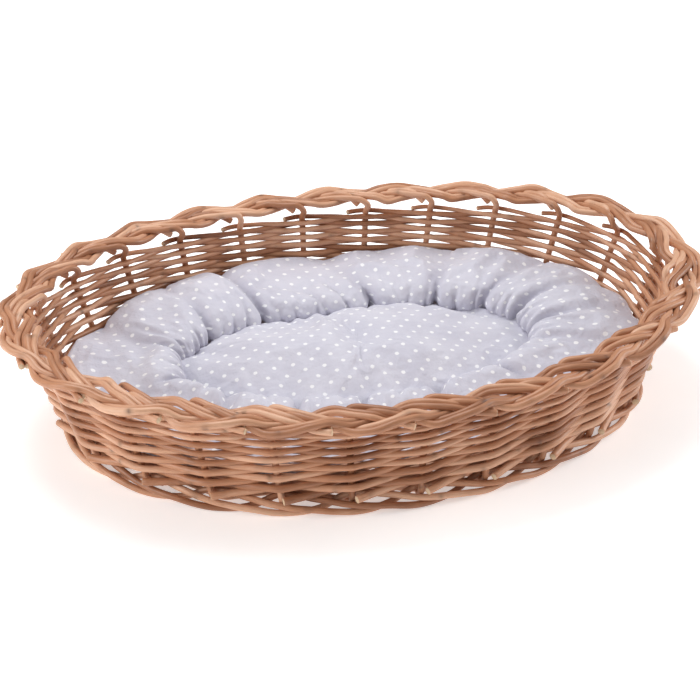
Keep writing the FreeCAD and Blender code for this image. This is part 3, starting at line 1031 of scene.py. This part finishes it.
def new_group(name: str, inputs: dict[str, tuple[str, object]],
              outputs: dict[str, str]) -> tuple[bpy.types.NodeTree, Tree]:
    """Make an empty shader node group with named sockets.

    Args:
        name: the group's name.
        inputs: socket name to its type and default.
        outputs: socket name to its type.

    Returns:
        The group and a Tree to fill it.
    """
    group = bpy.data.node_groups.new(name, "ShaderNodeTree")
    for socket, (kind, default) in inputs.items():
        item = group.interface.new_socket(socket, in_out="INPUT", socket_type=kind)
        item.default_value = default
    for socket, kind in outputs.items():
        group.interface.new_socket(socket, in_out="OUTPUT", socket_type=kind)
    return group, Tree(group)


def willow_skin_group() -> bpy.types.NodeTree:
    """Colour, roughness and height of peeled willow along a rod.

    Returns:
        The group: shade comes from the rod's tint, broad patches and fine streaks that
        run along the rod; knots are dark, cut ends pale.
    """
    group, tree = new_group(
        "willow_skin",
        {"Tint": ("NodeSocketFloat", 0.5), "Knot": ("NodeSocketFloat", 0.0),
         "Cut": ("NodeSocketFloat", 0.0), "Shade": ("NodeSocketFloat", 0.0),
         "Along": ("NodeSocketVector", (0.0, 0.0, 0.0))},
        {"Colour": "NodeSocketColor", "Roughness": "NodeSocketFloat",
         "Height": "NodeSocketFloat"})
    source = tree.add("NodeGroupInput")
    place = tree.add("ShaderNodeTexCoord").outputs["Object"]
    stretched = tree.add("ShaderNodeMapping", {"Vector": source.outputs["Along"],
                                               "Scale": (7.0, 42.0, 1.0)}).outputs[0]
    fine = tree.add("ShaderNodeMapping", {"Vector": source.outputs["Along"],
                                          "Scale": (26.0, 60.0, 1.0)}).outputs[0]
    patches = tree.noise(place, 17.0, 2.0)
    streaks = tree.noise(stretched, 1.0, 4.0, 0.6)
    fibres = tree.noise(fine, 1.0, 4.0, 0.65)
    shade = tree.maths("MULTIPLY_ADD", source.outputs["Tint"], 0.62, source.outputs["Shade"])
    shade = tree.maths("MULTIPLY_ADD", tree.between(patches, 0.3, 0.7), 0.26, shade)
    shade = tree.maths("MULTIPLY_ADD", tree.between(streaks, 0.25, 0.75), 0.26, shade)
    shade = tree.maths("MULTIPLY_ADD", tree.between(fibres, 0.3, 0.7), 0.12, shade, clamp=True)
    colour = tree.ramp(shade, ((0.0, (0.140, 0.052, 0.023)), (0.30, (0.330, 0.134, 0.063)),
                               (0.62, (0.520, 0.236, 0.122)), (1.0, (0.740, 0.430, 0.275))))
    knot = tree.maths("MULTIPLY", source.outputs["Knot"], 0.78)
    colour = tree.blend(knot, colour, (0.085, 0.036, 0.020, 1.0))
    colour = tree.blend(source.outputs["Cut"], colour, (0.700, 0.520, 0.340, 1.0))
    rough = tree.between(fibres, 0.25, 0.75, 0.34, 0.52)
    rough = tree.maths("MULTIPLY_ADD", source.outputs["Cut"], 0.35, rough, clamp=True)
    height = tree.maths("MULTIPLY_ADD", streaks, 0.5, fibres)
    tree.add("NodeGroupOutput", {"Colour": colour, "Roughness": rough, "Height": height})
    return group


def cotton_print_group() -> bpy.types.NodeTree:
    """Colour and height of the dotted cotton, from cloth coordinates in metres.

    Returns:
        The group: round white dots in staggered rows on a pale ground, a plain weave of
        crossing waves, and soft crumples, with painted shade darkening the ground in creases.
    """
    group, tree = new_group(
        "dotted_cotton_print",
        {"Cloth": ("NodeSocketVector", (0.0, 0.0, 0.0)),
         "CreaseShade": ("NodeSocketFloat", 0.0), "Pitch": ("NodeSocketFloat", 0.017),
         "Dot": ("NodeSocketFloat", 0.0021)},
        {"Colour": "NodeSocketColor", "Height": "NodeSocketFloat"})
    source = tree.add("NodeGroupInput")
    place = tree.add("ShaderNodeTexCoord").outputs["Object"]
    parts = tree.add("ShaderNodeSeparateXYZ", {0: source.outputs["Cloth"]})
    pitch = source.outputs["Pitch"]
    row = tree.maths("DIVIDE", parts.outputs[1], tree.maths("MULTIPLY", pitch, 0.62))
    stagger = tree.maths("MULTIPLY", tree.maths("FLOORED_MODULO", tree.maths("FLOOR", row), 2.0),
                         0.5)
    column = tree.maths("ADD", tree.maths("DIVIDE", parts.outputs[0], pitch), stagger)
    across = tree.maths("SUBTRACT", tree.maths("FRACT", column), 0.5)
    down = tree.maths("SUBTRACT", tree.maths("FRACT", row), 0.5)
    across = tree.maths("MULTIPLY", across, pitch)
    down = tree.maths("MULTIPLY", down, tree.maths("MULTIPLY", pitch, 0.62))
    distance = tree.maths("SQRT", tree.maths("ADD", tree.maths("MULTIPLY", across, across),
                                             tree.maths("MULTIPLY", down, down)))
    ragged = tree.noise(source.outputs["Cloth"], 900.0, 1.0)
    edge = tree.maths("MULTIPLY_ADD", tree.maths("SUBTRACT", ragged, 0.5), 0.0012, distance)
    over = tree.maths("DIVIDE", edge, source.outputs["Dot"])
    dot = tree.between(over, 0.80, 1.12, 1.0, 0.0)
    patches = tree.noise(place, 26.0, 3.0)
    ground = tree.blend(tree.between(patches, 0.3, 0.7), (0.585, 0.575, 0.665, 1.0),
                        (0.655, 0.645, 0.725, 1.0))
    # Painted shade: the ground is darkened toward a dusky grey in the creases.
    ground = tree.blend(tree.maths("MULTIPLY", source.outputs["CreaseShade"], 0.35), ground,
                        (0.430, 0.410, 0.500, 1.0))
    colour = tree.blend(dot, ground, (0.900, 0.895, 0.920, 1.0))
    warp = tree.maths("SINE", tree.maths("MULTIPLY", parts.outputs[0], TAU / 0.0007))
    weft = tree.maths("SINE", tree.maths("MULTIPLY", parts.outputs[1], TAU / 0.0007))
    weave = tree.maths("MULTIPLY", warp, weft)
    crumple = tree.noise(place, 95.0, 4.0, 0.55)
    height = tree.maths("MULTIPLY_ADD", crumple, 8.0, tree.maths("MULTIPLY", weave, 0.10))
    tree.add("NodeGroupOutput", {"Colour": colour, "Height": height})
    return group


@dataclass(frozen=True)
class Willow:
    """Peeled and steamed willow; shade shifts the whole finish, up for paler."""

    name: str
    shade: float = 0.0
    carried_over: bool = False
    bump: float = 0.35

    def make(self, skin: bpy.types.NodeTree) -> bpy.types.Material:
        """Build the material.

        Args:
            skin: the willow skin group.

        Returns:
            The material.
        """
        material = bpy.data.materials.new(self.name)
        material.use_nodes = True
        material.node_tree.nodes.clear()
        tree = Tree(material.node_tree)
        group = tree.add("ShaderNodeGroup", node_tree=skin)
        group.inputs["Shade"].default_value = self.shade
        coordinates = tree.add("ShaderNodeTexCoord")
        if self.carried_over:
            tree.tree.links.new(coordinates.outputs["Object"], group.inputs["Along"])
        else:
            tree.tree.links.new(coordinates.outputs["UV"], group.inputs["Along"])
            for mask, socket in (("tint", "Tint"), ("knot", "Knot"), ("cut", "Cut")):
                reader = tree.add("ShaderNodeAttribute", attribute_name=mask)
                tree.tree.links.new(reader.outputs["Fac"], group.inputs[socket])
        bump = tree.add("ShaderNodeBump", {"Height": group.outputs["Height"],
                                           "Strength": self.bump, "Distance": 0.0004})
        shader = tree.add("ShaderNodeBsdfPrincipled",
                          {"Base Color": group.outputs["Colour"],
                           "Roughness": group.outputs["Roughness"],
                           "Normal": bump.outputs[0], "Specular IOR Level": 0.5,
                           "Coat Weight": 0.12, "Coat Roughness": 0.28})
        tree.add("ShaderNodeOutputMaterial", {0: shader.outputs[0]})
        return material


@dataclass(frozen=True)
class Cotton:
    """Soft printed cotton with a faint nap."""

    name: str
    dot_pitch: float = 0.0185
    dot_radius: float = 0.0021

    def make(self, print_group: bpy.types.NodeTree) -> bpy.types.Material:
        """Build the material.

        Args:
            print_group: the cotton print group.

        Returns:
            The material.
        """
        material = bpy.data.materials.new(self.name)
        material.use_nodes = True
        material.node_tree.nodes.clear()
        tree = Tree(material.node_tree)
        group = tree.add("ShaderNodeGroup", node_tree=print_group)
        group.inputs["Pitch"].default_value = self.dot_pitch
        group.inputs["Dot"].default_value = self.dot_radius
        coordinates = tree.add("ShaderNodeTexCoord")
        # Painted shade: the crease mask read here darkens the cotton colour in creases and folds.
        crease_shade = tree.add("ShaderNodeAttribute", attribute_name="crease_shade")
        tree.tree.links.new(coordinates.outputs["UV"], group.inputs["Cloth"])
        tree.tree.links.new(crease_shade.outputs["Fac"], group.inputs["CreaseShade"])
        bump = tree.add("ShaderNodeBump", {"Height": group.outputs["Height"],
                                           "Strength": 0.5, "Distance": 0.0006})
        shader = tree.add("ShaderNodeBsdfPrincipled",
                          {"Base Color": group.outputs["Colour"], "Roughness": 0.88,
                           "Normal": bump.outputs[0], "Specular IOR Level": 0.25,
                           "Sheen Weight": 0.25, "Sheen Roughness": 0.5})
        tree.add("ShaderNodeOutputMaterial", {0: shader.outputs[0]})
        return material


# ---------------------------------------------------------------- studio

@dataclass(frozen=True)
class Softbox:
    """A large square light that faces a point of the basket."""

    name: str
    place: tuple[float, float, float]
    size: float
    power: float

    def build(self) -> None:
        """Make the light."""
        light = bpy.data.lights.new(self.name, "AREA")
        light.shape = "SQUARE"
        light.size = self.size
        light.energy = self.power
        lamp = bpy.data.objects.new(self.name, light)
        bpy.context.scene.collection.objects.link(lamp)
        lamp.location = self.place
        aim = Vector((0.0, 0.0, 0.05)) - Vector(self.place)
        lamp.rotation_euler = aim.to_track_quat("-Z", "Y").to_euler()


@dataclass(frozen=True)
class Studio:
    """Pale floor, soft lights, surroundings and the camera."""

    yaw: float = math.radians(16.3)
    pitch: float = math.radians(29.3)
    distance: float = 1.93
    focal_pixels: float = 1920.0
    shift_right: float = 8.0
    shift_down: float = -8.0
    roll: float = 0.0
    frame_pixels: float = 700.0
    sensor: float = 36.0
    surroundings: float = 0.32
    lights: tuple[Softbox, ...] = (
        Softbox("overhead", (-0.2, 0.8, 2.3), 1.3, 34.0),
        Softbox("left_side", (-2.1, -0.3, 0.9), 1.1, 22.0),
        Softbox("right_side", (2.2, -0.1, 1.0), 1.1, 26.0))

    def build_camera(self) -> None:
        """Place the camera: it looks at the basket's middle from the front, above."""
        ahead = Vector((math.sin(self.yaw) * math.cos(self.pitch),
                        math.cos(self.yaw) * math.cos(self.pitch), -math.sin(self.pitch)))
        right = Vector((math.cos(self.yaw), -math.sin(self.yaw), 0.0))
        up = right.cross(ahead)
        turned_right = right * math.cos(self.roll) + up * math.sin(self.roll)
        turned_up = up * math.cos(self.roll) - right * math.sin(self.roll)
        data = bpy.data.cameras.new("camera")
        data.sensor_width = self.sensor
        data.lens = self.focal_pixels * self.sensor / self.frame_pixels
        data.shift_x = -self.shift_right / self.frame_pixels
        data.shift_y = self.shift_down / self.frame_pixels
        data.clip_start = 0.05
        data.clip_end = 50.0
        camera = bpy.data.objects.new("camera", data)
        bpy.context.scene.collection.objects.link(camera)
        rows = Matrix((turned_right, turned_up, -ahead)).transposed()
        place = Vector((0.0, 0.0, 0.06)) - ahead * self.distance
        camera.matrix_world = Matrix.Translation(place) @ rows.to_4x4()
        bpy.context.scene.camera = camera

    def build_floor(self) -> None:
        """Make the pale floor: a flat grid just under the basket, faintly glowing."""
        side = np.linspace(-6.0, 6.0, 41)
        x, y = np.meshgrid(side, side, indexing="ij")
        z = np.full_like(x, -0.0004)
        vertices = np.stack([x, y, z], axis=-1).reshape(-1, 3)
        row = np.arange(40)[:, None] * 41
        column = np.arange(40)[None, :]
        corner = row + column
        quads = np.stack([corner, corner + 41, corner + 42, corner + 1], axis=-1).reshape(-1, 4)
        material = bpy.data.materials.new("pale_floor")
        material.use_nodes = True
        material.node_tree.nodes.clear()
        tree = Tree(material.node_tree)
        place = tree.add("ShaderNodeTexCoord").outputs["Object"]
        rough = tree.between(tree.noise(place, 3.0), 0.3, 0.7, 0.85, 0.95)
        shader = tree.add("ShaderNodeBsdfPrincipled",
                          {"Base Color": (0.92, 0.92, 0.92, 1.0), "Roughness": rough,
                           "Specular IOR Level": 0.1,
                           "Emission Color": (1.0, 1.0, 1.0, 1.0),
                           "Emission Strength": 0.42})
        tree.add("ShaderNodeOutputMaterial", {0: shader.outputs[0]})
        uvs = vertices[quads.ravel(), :2]
        empty = np.zeros((0, 3), dtype=int)
        floor = make_object("floor", Surface(vertices, quads, empty, uvs, {}), material)

    def build_surroundings(self) -> None:
        """Even white light from all round."""
        world = bpy.data.worlds.new("studio_air")
        world.use_nodes = True
        world.node_tree.nodes["Background"].inputs[0].default_value = (1.0, 1.0, 1.0, 1.0)
        world.node_tree.nodes["Background"].inputs[1].default_value = self.surroundings
        bpy.context.scene.world = world
        bpy.context.scene.view_settings.view_transform = "Standard"

    def build(self) -> None:
        """Make everything round the basket."""
        self.build_camera()
        self.build_floor()
        self.build_surroundings()
        for light in self.lights:
            light.build()


def main() -> None:
    """Build the basket, its cushion and the studio, in that order."""
    logging.basicConfig(level=logging.INFO, format="%(message)s")
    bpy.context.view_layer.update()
    wall = WallPlan()
    skin = willow_skin_group()
    cotton = Cotton("dotted_cotton").make(cotton_print_group())
    StakesAndBorder(wall).build(Willow("stake_willow", 0.10).make(skin))
    weaver = Willow("weaver_willow", 0.0).make(skin)
    Siding(wall).build(weaver)
    FootWale(wall).build(weaver)
    Base().build(Willow("base_willow", 0.25, carried_over=True).make(skin))
    Bolster(Swelling(wall)).build(cotton)
    Pad(Swelling(wall, pressure=3.0, spare_cloth=0.05, cap=0.012)).build(cotton)
    Studio().build()


if __name__ == "__main__":
    main()
